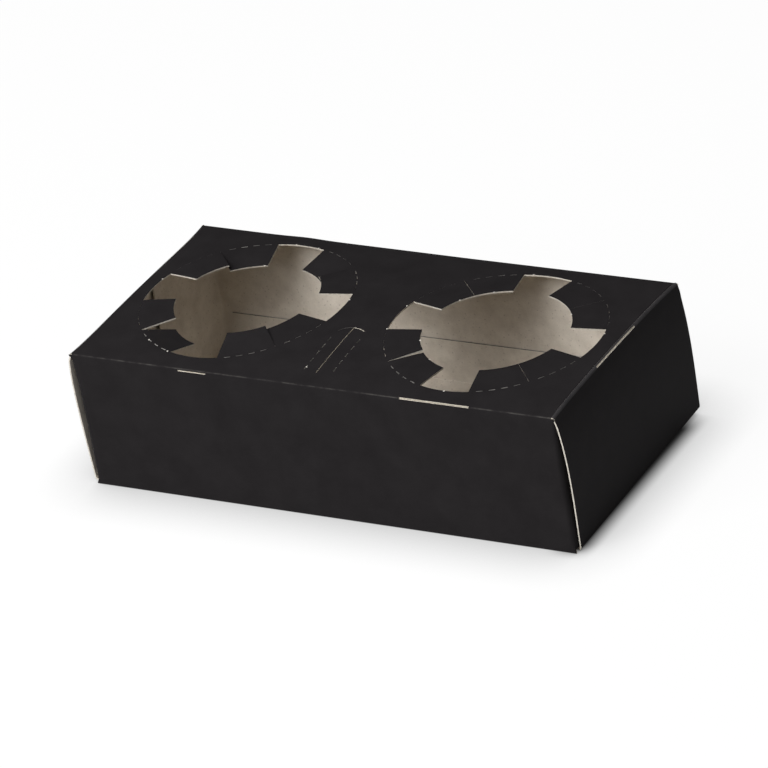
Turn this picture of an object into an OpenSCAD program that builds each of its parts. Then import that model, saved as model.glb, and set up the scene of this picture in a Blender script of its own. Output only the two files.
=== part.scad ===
// Cup carrier: a shallow carton of thin coated board, folded from one blank.
// The top panel has two openings ringed by petals that grip a cup each.
// X runs along the long walls, Y from the front wall to the back one, Z up.
// The origin is the middle of the underside.

/* [Carton] */
// Length of the top and the floor, between their end edges
box_l = 220; // [215:1:250]
// Width over the two long walls
box_w = 105; // [101:1:125]
// Height of the long creases of the top above the ground
wall_h = 60; // [50:1:80]
// Thickness of the board
board = 0.6; // [0.4:0.05:0.8]
// Outer radius of a fold
fold_r = 1; // [0.9:0.1:1.6]
// Rise of the bulging top above its long creases
top_rise = 2.6; // [1.4:0.2:6]
// Height of the glue flap inside the back wall
glue_h = 20; // [10:1:30]
// Run of the slanted ends of the glue flap
glue_slant = 6; // [3:1:12]

/* [Cup openings] */
// Distance from the middle of the carton to the centre of an opening
cup_x = 57.5; // [54:0.5:60]
// Radius of the perforated circle on which the petals bend
petal_r = 44.7; // [41:0.1:46]
// Radius of the circle between the petal tips
tip_r = 30.15; // [24:0.05:34]
// Width of an open notch at the perforated circle
notch_outer_w = 21.7; // [16:0.1:26]
// Width of an open notch at the petal tips
notch_inner_w = 16.1; // [12:0.1:20]
// Width of a cut through the board
cut_w = 0.3; // [0.2:0.05:0.4]
// Length of one perforation cut
dash_l = 3.8; // [2:0.1:4.2]
// Number of perforation cuts under half a petal
dash_count = 4; // [3:1:5]

/* [Finger slot] */
// Distance between the two creases of the finger slot
slot_w = 12.2; // [8:0.1:14]
// Length of the cut down its middle
slot_l = 32; // [24:1:34]
// Distance from the middle of the carton to the middle of the cut
slot_y = 28.5; // [26:0.5:30]
// Rise of the curved cut that ends the slot nearer the middle of the carton
slot_inner_rise = 5; // [2:0.5:5.5]
// Rise of the curved cut at its other end
slot_outer_rise = 2; // [1:0.5:5]
// Number of perforation cuts along each of its creases
slot_dash_count = 4; // [3:1:5]

/* [Crease cuts] */
// Length of the cuts that relieve the creases beside each opening
relief_l = 31; // [20:1:40]

/* [Dust flaps] */
// Length of a dust flap from the face of its wall
dust_l = 43; // [30:1:48]
// Distance from the top creases to the upper edge of a dust flap
dust_drop = 3; // [2:0.5:8]
// Taper of each long edge of a dust flap
dust_taper = 2; // [1:0.5:6]
// Space between a dust flap and the tuck flap that swings under it
dust_clear = 2; // [1:0.5:6]

/* [End flaps] */
// Space between the dust flaps and the upper edge of an end panel
end_gap = 0.7; // [0.6:0.1:2]
// Bulge of an end panel beyond the line between its folds
end_bow = 1.6; // [0.8:0.1:3]
// Distance that its lower fold stands out from the edge of the floor
end_out = 2; // [1:0.1:3]
// Outer radius of its lower fold
tuck_fold_r = 1.5; // [1:0.1:2]
// Length of the tuck flap inside the carton
tuck_l = 15; // [10:1:25]
// Radius of the corners of the tuck flap
tuck_corner_r = 8; // [4:1:9]
// Clearance between a swinging end flap and the rest
swing_gap = 0.3; // [0.2:0.05:0.6]

/* [Hidden] */
$fn = 120;
coat = "#2b292a";
eps = 0.01;
half_l = box_l / 2;
half_w = box_w / 2;
// The walls and their dust flaps end inside the swinging end panels
wall_end = half_l - board - end_gap;
// The top is part of a wide cylinder along X through both long creases
top_r = (pow(half_w, 2) + pow(top_rise, 2)) / (2 * top_rise);
top_centre_z = wall_h + top_rise - top_r;
// Centre of the fold between a wall and the top, tangent to both
top_fold_y = half_w - fold_r;
top_fold_z = top_centre_z + sqrt(pow(top_r - fold_r, 2) - pow(top_fold_y, 2));
top_fold_angle = asin(top_fold_y / (top_r - fold_r));
// Its bulge is drawn as narrow flat strips, each within a degree of the next
strip_count = 16;
// The glue flap folds up inside the back wall and is pressed into it this far
glue_press = 0.05;
back_face_y = half_w - board;
glue_face_y = back_face_y + glue_press;
// A vertical cut through the top starts this far below it and leaves the floor whole
cut_depth = 10;
cut_z = wall_h - cut_depth;
// Cuts run this far past the edges that they open
cut_past = 1;
cut_h = cut_depth + top_rise + cut_past;
// Half a petal, as an angle and as a length in from the perforated circle
notch_angle = asin(notch_outer_w / 2 / petal_r);
half_petal_angle = 45 - notch_angle;
petal_l = petal_r - tip_r;
// Lowest face of the tuck flap, above the floor, and its distance from the hinge
tuck_z = board + swing_gap;
hinge_drop = wall_h - tuck_z;
// The tuck flap leans up until its tip swings as near to the hinge as its fold
tuck_lean = asin(tuck_l / (2 * hinge_drop));
tuck_sag = hinge_drop - sqrt(pow(hinge_drop, 2) - pow(tuck_l / 2, 2));
dust_z = tuck_z + board + tuck_sag + dust_clear;
dust_top_z = wall_h - dust_drop;
// The end panel is an arc between the hinge and its lower fold
end_top_z = wall_h - board - swing_gap;
end_fold_x = half_l + end_out - tuck_fold_r;
end_fold_z = tuck_z + tuck_fold_r;
end_half_w = half_w - swing_gap;
// A fold runs this many degrees into the sheet that it joins
fold_lap = 2;
tuck_half_w = half_w - 2 * board - 2 * swing_gap;

// A kite from angle a to angle b that covers a slice of a disc of half its radius r
module wedge(r, a, b) {
    middle = (a + b) / 2;
    polygon([[0, 0], r * [cos(a), sin(a)], 1.5 * r * [cos(middle), sin(middle)], r * [cos(b), sin(b)]]);
}

// A strip of board bent round an arc of outer radius r, from angle a to angle b
module bent_strip(r, a, b) {
    intersection() {
        difference() {
            circle(r);
            circle(r - board);
        }
        wedge(r * 2, a, b);
    }
}

// A profile in Y and Z is drawn out along X to both sides of the middle
module along_x(half) {
    translate([-half, 0, 0])
        rotate([90, 0, 90])
            linear_extrude(half * 2) children();
}

// A profile in X and Z is drawn out along Y to both sides of the middle
module along_y(half) {
    translate([0, half, 0])
        rotate([90, 0, 0])
            linear_extrude(half * 2) children();
}

module top_profile() {
    step = 2 * top_fold_angle / strip_count;
    angles = [for (i = [0 : strip_count]) i * step - top_fold_angle];
    outer = [for (a = angles) top_r * [sin(a), cos(a)]];
    inner = [for (a = angles) (top_r - board) * [-sin(a), cos(a)]];
    translate([0, top_centre_z])
        polygon(concat(outer, inner));
}

// Both walls with their folds to the top, the floor and its two lower folds
module tube_profile() {
    translate([-half_w, fold_r])
        square([board, top_fold_z - fold_r]);
    translate([back_face_y, 0])
        square([board, top_fold_z]);
    translate([-top_fold_y, top_fold_z])
        bent_strip(fold_r, 90 + top_fold_angle - eps, 180);
    translate([top_fold_y, top_fold_z])
        bent_strip(fold_r, 0, 90 - top_fold_angle + eps);
    translate([-half_w + fold_r, fold_r])
        bent_strip(fold_r, 180, 270);
}

module floor_profile() {
    translate([-half_w + fold_r - eps, 0])
        square([half_w + glue_face_y - 2 * fold_r + 2 * eps, board]);
    translate([glue_face_y - fold_r, fold_r])
        bent_strip(fold_r, 270, 360);
}

module glue_flap() {
    translate([0, glue_face_y, 0])
        rotate([90, 0, 0])
            linear_extrude(board)
                polygon([[-wall_end, fold_r - eps], [wall_end, fold_r - eps],
                         [wall_end - glue_slant, glue_h], [-wall_end + glue_slant, glue_h]]);
}

// One of four flaps that fold in from the ends of the walls behind the end panels
module dust_flap() {
    translate([wall_end - fold_r, -half_w + fold_r, dust_z])
        linear_extrude(dust_top_z - dust_z) bent_strip(fold_r, 270, 360);
    translate([wall_end - board, -half_w, 0])
        rotate([90, 0, 90])
            linear_extrude(board)
                polygon([[fold_r - eps, dust_z], [dust_l, dust_z + dust_taper],
                         [dust_l, dust_top_z - dust_taper], [fold_r - eps, dust_top_z]]);
}

// The wall is cut away where a dust flap folds in
module dust_fold_cut() {
    translate([wall_end - fold_r, -half_w - eps, dust_z])
        cube([fold_r + eps, board + 2 * eps, dust_top_z - dust_z]);
}

// Repeats what it is given at all four corners of the carton
module at_corners() {
    for (turn = [0, 1], flip = [0, 1])
        mirror([turn, 0, 0]) mirror([0, flip, 0]) children();
}

// An open notch along +X between two petals, drawn past the perforated circle
module notch_plan() {
    past_r = petal_r + cut_past;
    polygon([[0, -notch_inner_w / 2], [tip_r, -notch_inner_w / 2], [petal_r, -notch_outer_w / 2],
             [past_r, -notch_outer_w / 2], [past_r, notch_outer_w / 2], [petal_r, notch_outer_w / 2],
             [tip_r, notch_inner_w / 2], [0, notch_inner_w / 2]]);
}

// The four notches and the circle that they open from
module opening_plan() {
    circle(tip_r);
    intersection() {
        circle(petal_r);
        for (turn = [0 : 90 : 270])
            rotate(turn) notch_plan();
    }
}

// Perforation cuts along the root of half a petal
module half_petal_dashes() {
    for (i = [0 : dash_count - 1])
        rotate(notch_angle + half_petal_angle * (i + 0.5) / dash_count)
            translate([petal_r - cut_w / 2, -dash_l / 2, cut_z])
                cube([cut_w, dash_l, cut_h]);
}

// All that the die cuts out of the top for one cup
module opening_cuts(hole) {
    translate([hole * cup_x, 0, 0]) {
        translate([0, 0, cut_z])
            linear_extrude(cut_h) opening_plan();
        for (turn = [45 : 90 : 315])
            rotate(turn)
                translate([tip_r - cut_past, -cut_w / 2, cut_z])
                    cube([petal_l + cut_past, cut_w, cut_h]);
    }
}

module opening_dashes(hole) {
    translate([hole * cup_x, 0, 0])
        for (turn = [0 : 90 : 270], side = [0, 1])
            rotate(turn) mirror([0, side, 0]) half_petal_dashes();
}

// A curved cut between the two creases of the finger slot, bulging along +Y
module slot_end_cut(rise) {
    arc_r = (pow(slot_w / 2, 2) + pow(rise, 2)) / (2 * rise);
    arc_half = asin(slot_w / 2 / arc_r);
    translate([0, -arc_r, cut_z])
        linear_extrude(cut_h)
            intersection() {
                difference() {
                    circle(arc_r);
                    circle(arc_r - cut_w);
                }
                wedge(arc_r * 2, 90 - arc_half, 90 + arc_half);
            }
}

// The finger slot's two flaps part along a cut, each on a perforated crease
module finger_slot_cuts() {
    crease_l = slot_l - slot_inner_rise - slot_outer_rise;
    crease_y = (slot_outer_rise - slot_inner_rise) / 2;
    pitch = crease_l / slot_dash_count;
    translate([0, -slot_y, 0]) {
        translate([-cut_w / 2, -slot_l / 2 + cut_w, cut_z])
            cube([cut_w, slot_l - 2 * cut_w, cut_h]);
        translate([0, slot_l / 2, 0])
            slot_end_cut(slot_inner_rise);
        translate([0, -slot_l / 2, 0])
            mirror([0, 1, 0]) slot_end_cut(slot_outer_rise);
        for (side = [-1, 1], i = [0 : slot_dash_count - 1])
            translate([side * slot_w / 2 - cut_w / 2,
                       crease_y - crease_l / 2 + pitch * (i + 0.5) - dash_l / 2, cut_z])
                cube([cut_w, dash_l, cut_h]);
    }
}

// Cuts through the long creases where an opening comes close to them, and half a
// cut along each end crease, beside the end panel that hangs from it
module crease_cuts() {
    fold_depth = fold_r * 4;
    for (side = [-1, 1], hole = [-1, 1])
        translate([hole * cup_x, side * half_w, wall_h])
            rotate([side * -45, 0, 0])
                cube([relief_l, cut_w, fold_depth], center = true);
    for (side = [-1, 1])
        translate([side * half_l, 0, cut_z + cut_h / 2])
            cube([cut_w * 2, relief_l, cut_h], center = true);
}

module carton() {
    color(coat)
        difference() {
            union() {
                difference() {
                    union() {
                        along_x(wall_end) tube_profile();
                        along_x(half_l) floor_profile();
                        along_x(half_l) top_profile();
                        glue_flap();
                    }
                    at_corners() dust_fold_cut();
                    for (hole = [-1, 1])
                        opening_cuts(hole);
                }
                at_corners() dust_flap();
            }
            for (hole = [-1, 1])
                opening_dashes(hole);
            finger_slot_cuts();
            crease_cuts();
        }
}

// Profile of an end panel in X and Z, from just under the top to its lower fold
module end_panel_profile() {
    rise = end_top_z + top_rise - end_fold_z;
    run = end_out * rise / (end_top_z - end_fold_z);
    chord = sqrt(pow(rise, 2) + pow(run, 2));
    arc_r = (pow(chord / 2, 2) + pow(end_bow, 2)) / (2 * end_bow);
    arc_half = asin(chord / 2 / arc_r);
    translate([half_l + end_out, end_fold_z])
        rotate(atan2(run, rise))
            translate([end_bow - arc_r, chord / 2])
                bent_strip(arc_r, -arc_half, arc_half);
}

module tuck_plan() {
    hull() {
        translate([0, -tuck_half_w])
            square([tuck_l - tuck_corner_r, tuck_half_w * 2]);
        for (side = [-1, 1])
            translate([tuck_l - tuck_corner_r, side * (tuck_half_w - tuck_corner_r)])
                circle(tuck_corner_r);
    }
}

module end_flap() {
    color(coat) {
        intersection() {
            along_y(end_half_w) end_panel_profile();
            translate([0, 0, top_centre_z])
                rotate([0, 90, 0])
                    cylinder(r = top_r - board - swing_gap, h = box_l, $fn = 720);
        }
        along_y(end_half_w)
            translate([end_fold_x, end_fold_z]) bent_strip(tuck_fold_r, 270, 360 + fold_lap);
        along_y(tuck_half_w)
            translate([end_fold_x, end_fold_z])
                bent_strip(tuck_fold_r, 270 - tuck_lean - fold_lap, 270 + fold_lap);
        translate([end_fold_x, 0, end_fold_z])
            rotate([0, 180 + tuck_lean, 0])
                translate([0, 0, tuck_fold_r - board])
                    linear_extrude(board) tuck_plan();
    }
}

module left_end_flap() {
    rotate([0, 0, 180]) end_flap();
}

module right_end_flap() {
    end_flap();
}

carton();
left_end_flap();
right_end_flap();
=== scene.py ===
import math

import bpy
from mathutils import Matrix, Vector


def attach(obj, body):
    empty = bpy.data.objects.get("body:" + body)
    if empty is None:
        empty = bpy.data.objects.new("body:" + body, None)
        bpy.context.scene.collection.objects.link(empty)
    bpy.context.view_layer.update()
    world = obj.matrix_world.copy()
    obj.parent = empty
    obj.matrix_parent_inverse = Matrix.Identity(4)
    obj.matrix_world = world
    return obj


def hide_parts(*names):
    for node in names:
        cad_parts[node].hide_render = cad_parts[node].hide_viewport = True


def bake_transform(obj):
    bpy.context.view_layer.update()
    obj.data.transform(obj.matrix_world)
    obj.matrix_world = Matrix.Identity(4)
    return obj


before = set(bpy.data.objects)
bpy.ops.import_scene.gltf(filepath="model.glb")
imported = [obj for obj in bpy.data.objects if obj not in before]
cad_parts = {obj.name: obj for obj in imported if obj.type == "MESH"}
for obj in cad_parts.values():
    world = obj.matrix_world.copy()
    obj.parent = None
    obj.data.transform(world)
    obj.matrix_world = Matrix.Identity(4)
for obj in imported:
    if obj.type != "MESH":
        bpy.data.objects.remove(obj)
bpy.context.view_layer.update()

# Camera. A long lens from the front right, above the carton and rolled a little
# to the left, so that the carton stands as it does in the photograph.
CAMERA_AT = (1.2004, -1.7129, 1.2027)
CAMERA_TURN = (60.229, 9.898, 29.413)
CAMERA_LENS_MM = 281.54

bpy.ops.object.camera_add(location=CAMERA_AT, rotation=[math.radians(a) for a in CAMERA_TURN])
camera = bpy.context.object
camera.data.lens = CAMERA_LENS_MM
camera.data.sensor_width = 36
camera.data.clip_start = 0.1
camera.data.clip_end = 20
bpy.context.scene.camera = camera


# Boards. The carton is one sheet of recycled board: black varnished coat outside,
# bare grey liner inside and pale fibres wherever the die or a knife has cut it.
def linear(hex_colour):
    """The linear colour, with full alpha, of an sRGB hex colour such as 'a0b1c2'."""
    parts = [int(hex_colour[i:i + 2], 16) / 255 for i in (0, 2, 4)]
    return [p / 12.92 if p <= 0.04045 else ((p + 0.055) / 1.055) ** 2.4 for p in parts] + [1.0]


def new_material(name):
    material = bpy.data.materials.new(name)
    material.use_nodes = True
    material.node_tree.nodes.clear()
    return material


def add(material, kind, settings=None, links=None):
    """Adds a shader node with its settings, and feeds its inputs from other nodes' outputs.

    Inputs that share a name on one node are given by their place, such as '1'."""
    tree = material.node_tree
    node = tree.nodes.new("ShaderNode" + kind)
    for name, value in (settings or {}).items():
        if name in node.inputs:
            node.inputs[name].default_value = value
        elif name.isdigit():
            node.inputs[int(name)].default_value = value
        else:
            setattr(node, name, value)
    for name, (source, output) in (links or {}).items():
        target = node.inputs[int(name)] if name.isdigit() else node.inputs[name]
        tree.links.new(source.outputs[output], target)
    return node


def ramp(material, source, output, stops):
    """A colour ramp through (position, colour) stops."""
    node = add(material, "ValToRGB", links={"Fac": (source, output)})
    elements = node.color_ramp.elements
    while len(elements) < len(stops):
        elements.new(0.5)
    for element, (position, colour) in zip(elements, stops):
        element.position = position
        element.color = colour
    return node


def noise(material, place, pattern_mm, detail, roughness):
    """Noise in the piece's own coordinates, its pattern so many millimetres apart."""
    return add(material, "TexNoise", {"Scale": 1000 / pattern_mm, "Detail": detail, "Roughness": roughness},
               {"Vector": (place, "Object")})


def varnished_board(name, mottle_mm, stops):
    """Black dispersion varnish on printed board: satin, with a colour that noise mottles."""
    m = new_material(name)
    place = add(m, "TexCoord")
    mottle = noise(m, place, mottle_mm, 5.0, 0.6)
    colour = ramp(m, mottle, "Fac", stops)
    # The fibres under the varnish are about 0.4 mm apart, and the sheet waves over some 20 mm
    fibres = noise(m, place, 0.4, 3.0, 0.7)
    waves = noise(m, place, 22.22, 2.0, 0.5)
    fine = add(m, "Bump", {"Strength": 0.12, "Distance": 0.00004}, {"Height": (fibres, "Fac")})
    soft = add(m, "Bump", {"Strength": 0.25, "Distance": 0.0004},
               {"Height": (waves, "Fac"), "Normal": (fine, "Normal")})
    shine = add(m, "MapRange", {"To Min": 0.46, "To Max": 0.56}, {"Value": (mottle, "Fac")})
    skin = add(m, "BsdfPrincipled", {"IOR": 1.47, "Specular IOR Level": 0.02},
               {"Base Color": (colour, "Color"), "Roughness": (shine, "Result"),
                "Normal": (soft, "Normal")})
    add(m, "OutputMaterial", links={"Surface": (skin, "BSDF")})
    return m


def grey_liner():
    """Uncoated recycled liner: warm grey and matt, with darker and paler fibres and flecks."""
    m = new_material("grey_recycled_liner")
    place = add(m, "TexCoord")
    cloud = noise(m, place, 7.143, 5.0, 0.65)
    base = ramp(m, cloud, "Fac", [(0.3, linear("cec5b9")), (0.7, linear("e4dcd0"))])
    # Flecks of old ink are about half a millimetre across and 2 mm apart
    fleck_mm = 2.083
    flecks = add(m, "TexVoronoi", {"Scale": 1000 / fleck_mm, "Randomness": 1.0},
                 {"Vector": (place, "Object")})
    fleck_size = ramp(m, flecks, "Distance", [(0.06, (0, 0, 0, 1)), (0.2, (1, 1, 1, 1))])
    fleck_mix = add(m, "Mix", {"data_type": "RGBA", "6": linear("bcb3a8")},
                    {"0": (fleck_size, "Color"), "7": (base, "Color")})
    fibres = noise(m, place, 0.6667, 4.0, 0.7)
    shade = ramp(m, fibres, "Fac", [(0.35, (0.93, 0.93, 0.93, 1)), (0.65, (1, 1, 1, 1))])
    colour = add(m, "Mix", {"data_type": "RGBA", "blend_type": "MULTIPLY", "0": 1.0},
                 {"6": (fleck_mix, "Result"), "7": (shade, "Color")})
    bump = add(m, "Bump", {"Strength": 0.35, "Distance": 0.00008}, {"Height": (fibres, "Fac")})
    skin = add(m, "BsdfPrincipled", {"IOR": 1.5, "Roughness": 0.9, "Specular IOR Level": 0.2},
               {"Normal": (bump, "Normal")})
    m.node_tree.links.new(colour.outputs[2], skin.inputs["Base Color"])
    add(m, "OutputMaterial", links={"Surface": (skin, "BSDF")})
    return m


def bare_fibres(name, dark, pale, pattern_mm):
    """Bare fibres of a cut or torn edge, matt and uneven, between two colours."""
    m = new_material(name)
    place = add(m, "TexCoord")
    fibres = noise(m, place, pattern_mm, 4.0, 0.6)
    colour = ramp(m, fibres, "Fac", [(0.35, linear(dark)), (0.65, linear(pale))])
    bump = add(m, "Bump", {"Strength": 0.4, "Distance": 0.00006}, {"Height": (fibres, "Fac")})
    skin = add(m, "BsdfPrincipled", {"IOR": 1.5, "Roughness": 0.85, "Specular IOR Level": 0.2},
               {"Base Color": (colour, "Color"), "Normal": (bump, "Normal")})
    add(m, "OutputMaterial", links={"Surface": (skin, "BSDF")})
    return m


# Ink and varnish lie unevenly over some 12 mm on the panels; on the long folds they are rubbed off in short
# runs, and the lighter colour there is also a painted highlight of the rounded fold
COAT = varnished_board("black_varnished_board", 12.5, [(0.3, linear("232122")), (0.7, linear("282627"))])
RUBBED_AND_HIGHLIT_COAT = varnished_board("rubbed_and_highlit_black_varnished_board", 6.25,
                              [(0.42, linear("252324")), (0.66, linear("454341"))])
# The end creases bend over a wider line, lighter all along: a painted highlight of the rounded fold
HIGHLIT_END_CREASE_COAT = varnished_board("highlit_black_varnished_board", 6.25,
                              [(0.3, linear("383738")), (0.7, linear("434142"))])
LINER = grey_liner()
CUT_EDGE = bare_fibres("cut_board_edge", "c6bfb2", "e6e0d5", 0.8333)
# The perforating rule drags ink into its cuts, so that they look grey, in some places darker; the same grey
# is painted shade on the glue flap's free edge inside the back wall
PRESSED_AND_SHADED_EDGE = bare_fibres("pressed_and_shaded_board_edge", "5b5a58", "a6a39e", 9.091)
TORN_FIBRES = bare_fibres("torn_board_fibres", "d8d2c6", "f6f2ea", 0.6667)

# Carton. One die-cut blank of 0.6 mm board, folded round four long creases into a
# sleeve, glued inside the back wall, with dust flaps folded in behind both ends.
MM = 0.001
LENGTH = 220 * MM
WIDTH = 105 * MM
HEIGHT = 60 * MM
BOARD = 0.6 * MM
FOLD_R = 0.9 * MM
FOLD_ARC = FOLD_R * math.pi / 2
FOOT_R = 0.6 * MM
FOOT_ARC = FOOT_R * math.pi / 2
GLUE_HEIGHT = 20 * MM
GLUE_SLANT = 6 * MM
GLUE_GAP = 0.02 * MM
GLUE_Y = WIDTH / 2 - BOARD - GLUE_GAP
BACK_FOOT = 0.3 * MM
WALL_END = LENGTH / 2 + 0.3 * MM
FLOOR_END = LENGTH / 2 - 1.0 * MM
CREASE_R = 1.2 * MM
TOP_END = WALL_END - CREASE_R
DUST_FOLD_R = 1.9 * MM
DUST_FOLD_ARC = DUST_FOLD_R * math.pi / 2
DUST_LENGTH = 43 * MM
DUST_BOTTOM = 1.8 * MM
BACK_FOOT_CUT = 1.6 * MM
DUST_TOP = HEIGHT - 3 * MM
DUST_TAPER = 2 * MM
DUST_LEAN = math.tan(math.radians(1.5))
FLAT_TOP = 2 * MM
FLAT_FOOT = 1.2 * MM
DUST_LEAN_DROP = 15 * MM
CELL = 2.6 * MM
KNIFE_PAST = 0.4 * MM

# The top bulges less at its ends: its left half is full nearly up to the end, its right half slopes
END_RISE = 1.15 * MM
MIDDLE_RISE = 3.5 * MM
LEFT_FULLNESS = 8
RIGHT_FULLNESS = 2

CUP_X = 57.5 * MM
PETAL_R = 44.7 * MM
TIP_R = 30.15 * MM
NOTCH_OUTER = 14.05
NOTCH_INNER = 15.5
DASH_LENGTH = 2.6 * MM
DASH_PITCH = 4.95 * MM

# Stretches of the sleeve across its creases, as (name, length); folds are quarter turns
STRETCHES = [("glue", GLUE_HEIGHT - FOLD_R), ("fold", FOLD_ARC),
             ("floor", GLUE_Y + WIDTH / 2 - FOLD_R - FOOT_R), ("fold", FOOT_ARC),
             ("front", HEIGHT - FOLD_R - FOOT_R), ("fold", FOLD_ARC),
             ("top", WIDTH - 2 * FOLD_R), ("fold", FOLD_ARC),
             ("back", HEIGHT - FOLD_R - BACK_FOOT)]


def stretch_start(name):
    at = 0
    for other, length in STRETCHES:
        if other == name:
            return at
        at += length


V_FRONT = stretch_start("front")
V_TOP = stretch_start("top")
V_BACK = stretch_start("back")
V_FLOOR = stretch_start("floor")
V_END = sum(length for name, length in STRETCHES)
V_FRONT_CREASE = V_TOP - FOLD_ARC / 2
V_BACK_CREASE = V_BACK - FOLD_ARC / 2


def v_of_top(y):
    """Distance across the blank of a place on the top panel."""
    return V_TOP + y + WIDTH / 2 - FOLD_R


def lines_across(stretches, cell):
    """Places of the grid lines along a run of stretches, close together on the folds."""
    places = [0.0]
    for name, length in stretches:
        count = 6 if name == "fold" else max(1, round(length / cell))
        start = places[-1]
        places += [start + length * (i + 1) / count for i in range(count)]
    return places


def apply_modifier(piece, modifier):
    bpy.ops.object.select_all(action="DESELECT")
    bpy.context.view_layer.objects.active = piece
    piece.select_set(True)
    bpy.ops.object.modifier_apply(modifier=modifier.name)


def flat_sheet(name, across, along):
    """A slab of board lying flat, its coat up at z = 0, with grid lines at the given places."""
    count = len(along)
    points = [(x, v, 0) for x in across for v in along]
    faces = [(i * count + j, (i + 1) * count + j, (i + 1) * count + j + 1, i * count + j + 1)
             for i in range(len(across) - 1) for j in range(count - 1)]
    mesh = bpy.data.meshes.new(name)
    mesh.from_pydata(points, [], faces)
    mesh.materials.append(COAT)
    sheet = bpy.data.objects.new(name, mesh)
    bpy.context.scene.collection.objects.link(sheet)
    thickness = sheet.modifiers.new("board", "SOLIDIFY")
    thickness.thickness = BOARD
    thickness.offset = -1
    apply_modifier(sheet, thickness)
    return sheet


def die_cut(sheet, knives, edge):
    """Cuts knives out of a flat sheet and leaves walls of the edge material.

    A knife is its outline at the coat and its outline at the liner."""
    points, faces = [], []
    for outline, foot in knives:
        n, first = len(outline), len(points)
        points += [(x, v, KNIFE_PAST) for x, v in outline]
        points += [(x, v, -BOARD - KNIFE_PAST) for x, v in foot]
        faces.append(tuple(first + i for i in range(n)))
        faces.append(tuple(first + n + i for i in reversed(range(n))))
        faces += [(first + i, first + n + i, first + n + (i + 1) % n, first + (i + 1) % n)
                  for i in range(n)]
    mesh = bpy.data.meshes.new("knives")
    mesh.from_pydata(points, [], faces)
    mesh.materials.append(edge)
    tool = bpy.data.objects.new("knives", mesh)
    bpy.context.scene.collection.objects.link(tool)
    cut = sheet.modifiers.new("die", "BOOLEAN")
    cut.operation = "DIFFERENCE"
    cut.solver = "MANIFOLD"
    cut.material_mode = "TRANSFER"
    cut.object = tool
    apply_modifier(sheet, cut)
    bpy.data.objects.remove(tool)


def straight(points):
    """A knife with upright sides, its outline turned counter-clockwise."""
    area = sum(a[0] * b[1] - b[0] * a[1] for a, b in zip(points, points[1:] + points[:1]))
    outline = points if area > 0 else list(reversed(points))
    return outline, outline


def rule(points, width, foot_width):
    """A knife along a line through points, of one width at the coat and another at the liner."""
    def outline(w):
        left, right = [], []
        for i, point in enumerate(points):
            along = Vector(points[min(i + 1, len(points) - 1)]) - Vector(points[max(i - 1, 0)])
            side = Vector((-along.y, along.x)).normalized() * w / 2
            left.append(tuple(Vector(point) + side))
            right.append(tuple(Vector(point) - side))
        return right + left[::-1]
    return outline(width), outline(foot_width)


def polar(hole, radius, angle):
    """A place on the flat blank by its radius and angle about a cup opening."""
    a = math.radians(angle)
    return (hole * CUP_X + radius * math.cos(a), v_of_top(radius * math.sin(a)))


def arc(hole, radius, start, end, count):
    return [polar(hole, radius, start + (end - start) * i / count) for i in range(count + 1)]


def opening_outline(hole):
    """The hole between the petals, with a notch on each axis."""
    points = []
    for quarter in (0, 90, 180, 270):
        points += arc(hole, PETAL_R, quarter - NOTCH_OUTER, quarter + NOTCH_OUTER, 10)
        points += arc(hole, TIP_R, quarter + NOTCH_INNER, quarter + 90 - NOTCH_INNER, 20)
    return points


def end_outline(side):
    """What the die cuts away beyond one end of the blank."""
    far = LENGTH
    dust_tip = WALL_END + DUST_FOLD_ARC + DUST_LENGTH - 2 * DUST_FOLD_R
    front_z = V_FRONT - FOOT_R
    back_z = V_BACK + HEIGHT - FOLD_R
    points = [(WALL_END - GLUE_SLANT, -MM), (FLOOR_END, V_FLOOR - FOLD_ARC),
              (FLOOR_END, V_FRONT - FOOT_ARC), (WALL_END, V_FRONT - FOOT_ARC / 2),
              (WALL_END, front_z + DUST_BOTTOM), (dust_tip, front_z + DUST_BOTTOM + DUST_TAPER),
              (dust_tip, front_z + DUST_TOP - DUST_TAPER), (WALL_END, front_z + DUST_TOP),
              (WALL_END, V_TOP - FOLD_ARC * 0.6), (TOP_END, V_TOP - FOLD_ARC * 0.6),
              (TOP_END, V_BACK - FOLD_ARC * 0.4), (WALL_END, V_BACK - FOLD_ARC * 0.4),
              (WALL_END, back_z - DUST_TOP), (dust_tip, back_z - DUST_TOP + DUST_TAPER),
              (dust_tip, back_z - DUST_BOTTOM - DUST_TAPER), (WALL_END, back_z - DUST_BOTTOM),
              (WALL_END - BACK_FOOT_CUT, back_z - DUST_BOTTOM), (WALL_END - BACK_FOOT_CUT, V_END + MM),
              (far, V_END + MM), (far, -MM)]
    return [(side * x, v) for x, v in points]


# Each opening's half petals and how far their tips hang: notch, side of it, drop
BENT_PETALS = {-1: {(90, 1): 2.7 * MM, (90, -1): 2.9 * MM, (270, 1): -1.6 * MM, (270, -1): 5.0 * MM},
               1: {(270, -1): 1.2 * MM}}


def bend_petals(x, y, t):
    """Moves a place on the flat top, t above its coat, with the half petal that it is on."""
    hole = -1 if x < 0 else 1
    radius = math.hypot(x - hole * CUP_X, y)
    if radius >= PETAL_R - 1e-6 or radius < TIP_R - MM:
        return x, y, t
    angle = math.degrees(math.atan2(y, x - hole * CUP_X)) % 360
    notch = round(angle / 90) * 90 % 360
    side = 1 if (angle - notch + 180) % 360 - 180 > 0 else -1
    drop = BENT_PETALS[hole].get((notch, side), 0)
    tilt = math.asin(drop / (PETAL_R - TIP_R))
    reach = PETAL_R - radius
    radius_now = PETAL_R - reach * math.cos(tilt) - t * math.sin(tilt)
    x_now = hole * CUP_X + (x - hole * CUP_X) * radius_now / radius
    return x_now, y * radius_now / radius, t * math.cos(tilt) - reach * math.sin(tilt)


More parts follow.
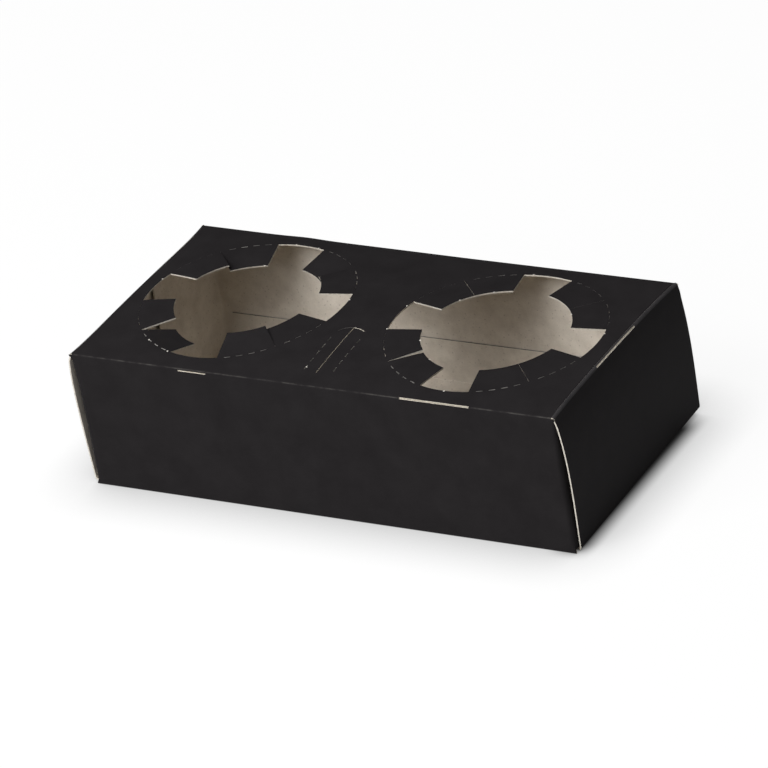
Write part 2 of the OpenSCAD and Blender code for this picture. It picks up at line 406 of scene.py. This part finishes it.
def fold_end(x, t, z):
    """Folds a dust flap in: place along X, and distance in from the wall's face."""
    start = WALL_END - DUST_FOLD_R
    over = abs(x) - start
    if over <= 0:
        return x, -t
    # Above and below the dust flap the wall's end stays flat
    firm = min(1, max(0, (HEIGHT - FOLD_R - z) / FLAT_TOP), max(0, (z - FOOT_R) / FLAT_FOOT))
    turn = min(over / DUST_FOLD_R, math.pi / 2)
    beyond = max(0, over - DUST_FOLD_ARC)
    spread = beyond * DUST_LEAN * min(1, (HEIGHT - z) / DUST_LEAN_DROP)
    along = start + (DUST_FOLD_R + t) * math.sin(turn) + spread
    inward = DUST_FOLD_R - (DUST_FOLD_R + t) * math.cos(turn) + beyond
    return math.copysign(abs(x) + (along - abs(x)) * firm, x), inward * firm - t * (1 - firm)


def quarter_turn(v, t, radius):
    """Place on a fold of the sleeve, from the start of its arc: forward and inward distances."""
    turn = v / radius
    return (radius + t) * math.sin(turn), radius - (radius + t) * math.cos(turn)


# How the handled board has sprung from a true box: the front wall's foot stands out, the
# back crease is lifted at the left and over its slit, and the corners of the ends stick out
FRONT_FLARE = 2.1 * MM
FLARE_TWIST = 0.1
RIGHT_FOOT_REACH = 1.1 * MM
BACK_LIFT = 0.12 * MM
BACK_LIFT_LEFT = 0.7 * MM
BACK_LIFT_FROM = 18 * MM
SLIT_LIFT = 0.38 * MM
SLIT_LIFT_AT = -60 * MM
SLIT_LIFT_REACH = 9 * MM
CORNER_SPRING = {(-1, -1): 1.45 * MM, (-1, 1): 0.9 * MM, (1, -1): 0.5 * MM, (1, 1): 0.9 * MM}


def flare(x, y, z):
    """Leans the front wall and the floor's front edge outward, most at the right."""
    low = max(0, 1 - z / HEIGHT)
    forward = min(1, max(0, -2 * y / WIDTH))
    x += RIGHT_FOOT_REACH * low * forward ** 2 * min(1, max(0, 2 * x / LENGTH)) ** 8
    return x, y - FRONT_FLARE * (1 + FLARE_TWIST * 2 * x / LENGTH) * low * forward, z


def spring(x, y, z):
    """Lifts the back crease and pushes out the upper corners of the ends."""
    high = min(1, max(0, z / HEIGHT))
    back = min(1, max(0, y / WIDTH + 0.5))
    lift = BACK_LIFT + BACK_LIFT_LEFT * max(0, BACK_LIFT_FROM - x) / (LENGTH / 2 + BACK_LIFT_FROM)
    lift += SLIT_LIFT * math.exp(-((x - SLIT_LIFT_AT) / SLIT_LIFT_REACH) ** 2)
    corner = CORNER_SPRING[(1 if x > 0 else -1, 1 if y > 0 else -1)]
    out = corner * min(1, abs(2 * y / WIDTH)) ** 6 * min(1, abs(2 * x / LENGTH)) ** 10 * high ** 6
    return x + math.copysign(out, x), y, z + lift * back ** 9 * high ** 4


def fold_sleeve(x, v, t):
    """Folds a place on the flat blank, t above its coat, to its place on the carton."""
    half = WIDTH / 2
    at = v
    for index, (name, length) in enumerate(STRETCHES):
        if at <= length or index == len(STRETCHES) - 1:
            break
        at -= length
    if name == "glue":
        place = x, GLUE_Y + t, GLUE_HEIGHT - at
    elif name == "floor":
        place = x, GLUE_Y - FOLD_R - at, -t
    elif name == "front":
        along, inward = fold_end(x, t, FOOT_R + at)
        place = along, -half + inward, FOOT_R + at
    elif name == "top":
        x, y, rise = bend_petals(x, at - half + FOLD_R, t)
        fullness = LEFT_FULLNESS if x < 0 else RIGHT_FULLNESS
        bulge = END_RISE + (MIDDLE_RISE - END_RISE) * (1 - min(1, abs(2 * x / LENGTH)) ** fullness)
        place = x, y, HEIGHT + rise + bulge * (1 - (2 * y / WIDTH) ** 2)
    elif name == "back":
        along, inward = fold_end(x, t, HEIGHT - FOLD_R - at)
        place = along, half - inward, HEIGHT - FOLD_R - at
    else:
        forward, inward = quarter_turn(at, t, FOOT_R if index == 3 else FOLD_R)
        place = {1: (x, GLUE_Y - inward, FOLD_R - forward),
                 3: (x, -half + FOOT_R - forward, inward),
                 5: (x, -half + inward, HEIGHT - FOLD_R + forward),
                 7: (x, half - FOLD_R + forward, HEIGHT - inward)}[index]
    return spring(*flare(*place))


def finish_sheet(sheet, place, on_crease, crease_coat):
    """Gives each face of the flat sheet its material, then folds the sheet."""
    mesh = sheet.data
    finishes = [COAT, crease_coat, LINER, CUT_EDGE, PRESSED_AND_SHADED_EDGE]
    indices = []
    for face in mesh.polygons:
        made = mesh.materials[face.material_index]
        if face.normal.z > 0.7:
            finish = crease_coat if on_crease(face.center.x, face.center.y) else COAT
        elif face.normal.z < -0.7:
            finish = LINER
        else:
            # The glue flap's free edge, at the start of the blank, takes this grey as painted shade
            finish = PRESSED_AND_SHADED_EDGE if made == PRESSED_AND_SHADED_EDGE or face.center.y < 0.01 * MM else CUT_EDGE
        indices.append(finishes.index(finish))
    mesh.materials.clear()
    for finish in finishes:
        mesh.materials.append(finish)
    mesh.polygons.foreach_set("material_index", indices)
    for vertex in mesh.vertices:
        vertex.co = place(*vertex.co)
    bpy.ops.object.select_all(action="DESELECT")
    bpy.context.view_layer.objects.active = sheet
    sheet.select_set(True)
    bpy.ops.object.shade_smooth_by_angle(angle=math.radians(32))


HALF_STRETCHES = [("wall", WALL_END - DUST_FOLD_R), ("fold", DUST_FOLD_ARC), ("dust flap", DUST_LENGTH)]
half_lines = lines_across(HALF_STRETCHES, CELL)
carton = flat_sheet("carton_sheet", [-x for x in reversed(half_lines[1:])] + half_lines,
                    lines_across(STRETCHES, CELL))
die_cut(carton, [straight(opening_outline(hole)) for hole in (-1, 1)]
        + [straight(end_outline(side)) for side in (-1, 1)], CUT_EDGE)

# Slits that part each petal in two; those towards the back right have stayed shut
PETAL_SLITS = {-1: {135: 0.05, 225: 0.06, 315: 0.04}, 1: {135: 0.1, 225: 0.05, 315: 0.06}}
SHUT_AT = 45
SHUT_WIDTH = 0.03 * MM
SLIT_FOOT = 0.04 * MM


def petal_slit(hole, angle, width, foot_width):
    return rule([polar(hole, TIP_R - MM, angle), polar(hole, PETAL_R, angle)], width, foot_width)


die_cut(carton, [petal_slit(hole, angle, width * MM, SLIT_FOOT)
                 for hole in (-1, 1) for angle, width in PETAL_SLITS[hole].items()], CUT_EDGE)
die_cut(carton, [petal_slit(hole, SHUT_AT, SHUT_WIDTH, SHUT_WIDTH) for hole in (-1, 1)], PRESSED_AND_SHADED_EDGE)

# Perforated circle under the petals, in eighths from the right notch on: how wide its cuts gape
CIRCLE_GAPE = {-1: (0.5, 0.2, 0.5, 0.08, 0.2, 0.6, 0.44, 0.36),
               1: (0.2, 0.08, 0.22, 0.08, 0.22, 0.5, 0.48, 0.56)}
DASH_COUNT = 4
DASH_FOOT = 0.06 * MM
dashes = []
for hole in (-1, 1):
    for eighth, gape in enumerate(CIRCLE_GAPE[hole]):
        slit_at = 45 + 90 * (eighth // 2)
        reach = math.degrees(DASH_LENGTH / PETAL_R / 2)
        for i in range(DASH_COUNT):
            away = math.degrees(DASH_PITCH / PETAL_R) * (i + 1)
            middle = slit_at + (away if eighth % 2 else -away)
            dashes.append(rule(arc(hole, PETAL_R, middle - reach, middle + reach, 2), gape * MM, DASH_FOOT))
die_cut(carton, dashes, PRESSED_AND_SHADED_EDGE)

# Finger slot between the openings: two flaps that part along a middle cut, under a curved cut,
# each on a perforated crease
SLOT_Y = (-44.3 * MM, -13.0 * MM)
# Each crease's place and the middle of its first dash; the right flap has sprung out a little
SLOT_CREASES = [(-6.1 * MM, -22.4 * MM), (6.7 * MM, -21.5 * MM)]
SLOT_PITCH = 4.85 * MM
SLOT_DASH_COUNT = 5
SLOT_DASH_WIDTH = 0.6 * MM
SLOT_END_R = 6.5 * MM
SPRUNG_END_R = 11 * MM


def slot_end(radius, start, end):
    """Part of the curved cut at the slot's inner end, by angles from its middle."""
    turns = [math.radians(start + (end - start) * i / 5) for i in range(6)]
    return [(radius * math.sin(a), v_of_top(SLOT_Y[1] - radius + radius * math.cos(a))) for a in turns]


def slot_dash(x, y):
    half = DASH_LENGTH / 2
    return rule([(x, v_of_top(y - half)), (x, v_of_top(y + half))], SLOT_DASH_WIDTH, DASH_FOOT)


slot_dashes = [slot_dash(x, first - SLOT_PITCH * i) for x, first in SLOT_CREASES
               for i in range(SLOT_DASH_COUNT)]
left_curve = rule(slot_end(SLOT_END_R, -62, -1), 0.3 * MM, 0.06 * MM)
right_curve = rule(slot_end(SPRUNG_END_R, -1, 31), 0.4 * MM, 0.08 * MM)
middle_cut = rule([(0, v_of_top(y)) for y in SLOT_Y], 0.36 * MM, 0.06 * MM)
die_cut(carton, slot_dashes + [left_curve], PRESSED_AND_SHADED_EDGE)
die_cut(carton, [right_curve], CUT_EDGE)
die_cut(carton, [middle_cut], CUT_EDGE)

# Slits on the long creases: the die cuts them through beside each opening, and the fold spreads
# them. Each has its place across the blank, its ends along it and its width.
CREASE_SLITS = [(V_FRONT_CREASE, 41.9, 73.0, 1.0),
                (V_FRONT_CREASE - 0.8 * MM, -60.0, -47.0, 0.7),
                (V_BACK_CREASE, -73.0, -44.0, 0.5)]
CREASE_SLIT_FOOT = 0.1 * MM
die_cut(carton, [rule([(start * MM, v), (end * MM, v)], width * MM, CREASE_SLIT_FOOT)
                 for v, start, end, width in CREASE_SLITS], CUT_EDGE)


def on_long_crease(x, v):
    return min(abs(v - V_FRONT_CREASE), abs(v - V_BACK_CREASE)) < FOLD_ARC / 6


# The long creases take the rubbed coat, which also carries their painted highlight
finish_sheet(carton, fold_sleeve, on_long_crease, RUBBED_AND_HIGHLIT_COAT)
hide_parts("carton")
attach(carton, "carton")

# Nicks. Where the waste was torn out of the openings, small tufts of white fibres
# stand on the cut edges, each about 0.7 mm across and pressed flat.
NICKS = {-1: [(44.9, 172), (44.9, 94), (44.9, 80), (30.1, 108), (44.9, 8), (44.8, 237), (44.9, 254)],
         1: [(44.8, 194), (44.9, 171), (30.1, 147), (30.1, 120), (44.9, 99), (30.1, 211),
             (30.1, 237), (44.9, 271), (44.9, 10), (30.1, 36)]}
SLOT_NICK = (-5.9 * MM, -41.6 * MM)
NICK_SIDES = 8
NICK_R = 0.36 * MM
NICK_HEIGHT = 0.12 * MM
NICK_ROOT = 0.1 * MM
nick_places = [polar(hole, radius * MM, angle) for hole in (-1, 1) for radius, angle in NICKS[hole]]
nick_places.append((SLOT_NICK[0], v_of_top(SLOT_NICK[1])))
points, faces = [], []
for number, (x, v) in enumerate(nick_places):
    first = len(points)
    for t, size in ((-NICK_ROOT, 0.9), (NICK_HEIGHT / 2, 1.0), (NICK_HEIGHT, 0.6)):
        for i in range(NICK_SIDES):
            # The tufts are ragged: each side reaches out by its own amount
            reach = NICK_R * size * (1 + 0.28 * math.sin(2.3 * i + 1.7 * number))
            turn = 2 * math.pi * i / NICK_SIDES
            points.append(fold_sleeve(x + reach * math.cos(turn), v + reach * math.sin(turn), t))
    faces.append(tuple(first + i for i in reversed(range(NICK_SIDES))))
    faces.append(tuple(first + 2 * NICK_SIDES + i for i in range(NICK_SIDES)))
    for low in (first, first + NICK_SIDES):
        high = low + NICK_SIDES
        for i in range(NICK_SIDES):
            after = (i + 1) % NICK_SIDES
            faces.append((low + i, low + after, high + after, high + i))
nick_mesh = bpy.data.meshes.new("torn_nicks")
nick_mesh.from_pydata(points, [], faces)
nick_mesh.materials.append(TORN_FIBRES)
nicks = bpy.data.objects.new("torn_nicks", nick_mesh)
bpy.context.scene.collection.objects.link(nicks)
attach(nicks, "carton")

# End flaps. The blank goes on past each end crease of the top: a panel that bows out
# over the dust flaps, a soft fold and a tuck flap held inside by its own spring.
END_CLEAR = 0.3 * MM
END_HALF_WIDTH = WIDTH / 2 - END_CLEAR
TUCK_HALF_WIDTH = WIDTH / 2 - 2 * BOARD - 2 * END_CLEAR
TUCK_LENGTH = 15 * MM
TUCK_CORNER = 8 * MM
TUCK_FOLD_R = 1.5 * MM
TUCK_BOTTOM = 0.15 * MM
TUCK_LEAN = math.radians(12)
END_TOP_OUT = 0.3 * MM
# Each end's reach at its foot, its bow over the straight line from crease to foot, how early that
# comes, and how much higher and how much further in the foot stands at the back than at the front
END_BOWS = {-1: (2.7 * MM, 2.4 * MM, 0.55, 0.0, 0.0),
            1: (2.3 * MM, 2.0 * MM, 0.66, 2.0 * MM, 0.6 * MM)}
CREASE_ARC = CREASE_R * math.pi / 2
PANEL_TOP = HEIGHT - CREASE_R
PANEL_BOTTOM = TUCK_BOTTOM + TUCK_FOLD_R
PANEL = PANEL_TOP - PANEL_BOTTOM
TUCK_TURN = math.pi / 2 + TUCK_LEAN
END_STRETCHES = [("fold", CREASE_ARC), ("panel", PANEL),
                 ("fold", TUCK_FOLD_R * TUCK_TURN), ("tuck", TUCK_LENGTH)]


def fold_end_flap(side):
    """The folding of a flat end flap, y across and s down from the top, for one end."""
    foot_out, bow, early, back_foot, back_in = END_BOWS[side]

    def place(y, s, t):
        rise = END_RISE * (1 - (2 * y / WIDTH) ** 2)
        foot = back_foot * (side * y / WIDTH + 0.5)
        inset = back_in * (side * y / WIDTH + 0.5)
        down = min(1, max(0, (s - CREASE_ARC) / PANEL))
        if s <= CREASE_ARC:
            turn = s / CREASE_R
            x = TOP_END + (CREASE_R + t) * math.sin(turn)
            z = PANEL_TOP + rise + (CREASE_R + t) * math.cos(turn)
        elif down < 1:
            out = END_TOP_OUT * (1 - down) + foot_out * down + bow * math.sin(math.pi * down ** early)
            x = LENGTH / 2 + out + t - inset * min(1, down * 9)
            z = PANEL_TOP + rise * (1 - down) - down * (PANEL - foot)
        else:
            turn = min((s - CREASE_ARC - PANEL) / TUCK_FOLD_R, TUCK_TURN)
            beyond = max(0, s - CREASE_ARC - PANEL - TUCK_FOLD_R * TUCK_TURN)
            radius = TUCK_FOLD_R + t
            x = LENGTH / 2 + foot_out - inset - TUCK_FOLD_R
            x += radius * math.cos(turn) - beyond * math.sin(turn)
            z = PANEL_BOTTOM + foot - radius * math.sin(turn) - beyond * math.cos(turn)
        return spring(side * x, side * y, z)
    return place


def tuck_outline(side):
    """What the die cuts away beside the tuck flap."""
    start = CREASE_ARC + PANEL + TUCK_FOLD_R * math.pi / 2
    end = sum(length for name, length in END_STRETCHES)
    centre = (TUCK_HALF_WIDTH - TUCK_CORNER, end - TUCK_CORNER)
    turns = [math.radians(a) for a in range(0, 91, 9)]
    corner = [(centre[0] + TUCK_CORNER * math.cos(a), centre[1] + TUCK_CORNER * math.sin(a)) for a in turns]
    points = [(WIDTH, start), (TUCK_HALF_WIDTH, start)] + corner
    points += [(centre[0], end + MM), (WIDTH, end + MM)]
    return [(side * y, s) for y, s in points]


# The slit on each end crease: its ends, as seen from outside, and its widths at coat and liner
END_SLIT = (-15 * MM, 17 * MM)
END_SLIT_WIDTH = 0.9 * MM
END_SLIT_FOOT = 0.1 * MM
count = round(2 * END_HALF_WIDTH / CELL)
across = [-END_HALF_WIDTH + 2 * END_HALF_WIDTH * i / count for i in range(count + 1)]
for name, side in (("left_end_flap", -1), ("right_end_flap", 1)):
    flap = flat_sheet(name + "_sheet", across, lines_across(END_STRETCHES, CELL))
    die_cut(flap, [straight(tuck_outline(edge)) for edge in (-1, 1)], CUT_EDGE)
    slit_ends = sorted(side * y for y in END_SLIT)
    slit = rule([(y, CREASE_ARC * 0.55) for y in slit_ends], END_SLIT_WIDTH, END_SLIT_FOOT)
    die_cut(flap, [slit], CUT_EDGE)
    # The end crease takes the lighter coat, a painted highlight of the rounded fold
    finish_sheet(flap, fold_end_flap(side), lambda y, s: s < CREASE_ARC * 5 / 6, HIGHLIT_END_CREASE_COAT)
    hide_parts(name)
    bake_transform(flap)

# Studio. A white sweep under the carton, three broad soft lights above and to the front
# left, and a weak world. Camera, reflections and glass see the sweep as white.
bpy.ops.mesh.primitive_plane_add(size=8, location=(0, 0, 0))
ground = bpy.context.object
ground.name = "ground"
SWEEP_GREY = 0.6
SEEN_GREY = 0.10
SEEN_WHITE = 0.90
CONTACT_REACH = 29 * MM
CONTACT_POWER = 0.7
paper = new_material("white_paper_sweep")
ray = add(paper, "LightPath")
seen = add(paper, "Math", {"operation": "ADD"}, {"0": (ray, "Is Camera Ray"), "1": (ray, "Is Glossy Ray")})
seen = add(paper, "Math", {"operation": "ADD", "use_clamp": True},
           {"0": (seen, "Value"), "1": (ray, "Is Transmission Ray")})
# Seen directly the paper takes a little of the lamps' light, and glows white, dimmed near the carton as a
# painted contact shade
grey = add(paper, "MapRange", {"To Min": SWEEP_GREY, "To Max": SEEN_GREY}, {"Value": (seen, "Value")})
contact = add(paper, "AmbientOcclusion", {"samples": 16, "Distance": CONTACT_REACH})
contact = add(paper, "Math", {"operation": "POWER", "1": CONTACT_POWER}, {"0": (contact, "AO")})
# The right end leans over the paper, whose contact shadow is nearly black for a few millimetres:
# where its middle line lies on each axis, and the distances from it over which it fades
SHADOW_X = 108 * MM
SHADOW_X_FADE = (1.2 * MM, 11 * MM)
SHADOW_Y = -4 * MM
SHADOW_Y_FADE = (42 * MM, 56 * MM)
SHADOW_DEPTH = 0.97
place = add(paper, "TexCoord")
axes = add(paper, "SeparateXYZ", links={"Vector": (place, "Object")})


def shadow_along(axis, middle, fade, depth):
    """How dark the shadow is at a distance along one axis from its middle line."""
    away = add(paper, "Math", {"operation": "SUBTRACT", "1": middle}, {"0": (axes, axis)})
    away = add(paper, "Math", {"operation": "ABSOLUTE"}, {"0": (away, "Value")})
    return add(paper, "MapRange", {"interpolation_type": "SMOOTHSTEP", "From Min": fade[0],
                                   "From Max": fade[1], "To Min": depth, "To Max": 0.0},
               {"Value": (away, "Value")})


under_end = shadow_along("X", SHADOW_X, SHADOW_X_FADE, SHADOW_DEPTH)
beside_end = shadow_along("Y", SHADOW_Y, SHADOW_Y_FADE, 1.0)
under = add(paper, "Math", {"operation": "MULTIPLY"},
            {"0": (under_end, "Result"), "1": (beside_end, "Result")})
lit = add(paper, "Math", {"operation": "SUBTRACT", "0": 1.0}, {"1": (under, "Value")})
grey = add(paper, "Math", {"operation": "MULTIPLY"}, {"0": (grey, "Result"), "1": (lit, "Value")})
paper_skin = add(paper, "BsdfDiffuse", links={"Color": (grey, "Value")})
dim = add(paper, "Math", {"operation": "MULTIPLY"}, {"0": (contact, "Value"), "1": (seen, "Value")})
dim = add(paper, "Math", {"operation": "MULTIPLY"}, {"0": (dim, "Value"), "1": (lit, "Value")})
strength = add(paper, "Math", {"operation": "MULTIPLY", "1": SEEN_WHITE}, {"0": (dim, "Value")})
white = add(paper, "Emission", {"Color": (1, 1, 1, 1)}, {"Strength": (strength, "Value")})
both = add(paper, "AddShader", links={"0": (paper_skin, "BSDF"), "1": (white, "Emission")})
add(paper, "OutputMaterial", links={"Surface": (both, "Shader")})
ground.data.materials.append(paper)

WORLD_LIGHT = 0.06
world = bpy.data.worlds.new("studio")
world.use_nodes = True
world.node_tree.nodes["Background"].inputs["Color"].default_value = (1, 1, 1, 1)
world.node_tree.nodes["Background"].inputs["Strength"].default_value = WORLD_LIGHT
bpy.context.scene.world = world


def soft_light(name, turn, height, distance, size, power):
    """A square soft light aimed at the carton, by its bearing from the front and its height angle."""
    a, b = math.radians(turn - 90), math.radians(height)
    position = Vector((math.cos(a) * math.cos(b), math.sin(a) * math.cos(b), math.sin(b))) * distance
    bpy.ops.object.light_add(type="AREA", location=position)
    lamp = bpy.context.object
    lamp.name = name
    lamp.data.size = size
    lamp.data.energy = power
    lamp.rotation_euler = (-position).to_track_quat("-Z", "Y").to_euler()


soft_light("key_light", -20, 60, 2.2, 1.6, 37)
soft_light("fill_light", -28, 36, 2.2, 1.4, 24)
soft_light("top_light", 0, 84, 2.2, 1.6, 7)

bpy.context.scene.view_settings.view_transform = "Standard"
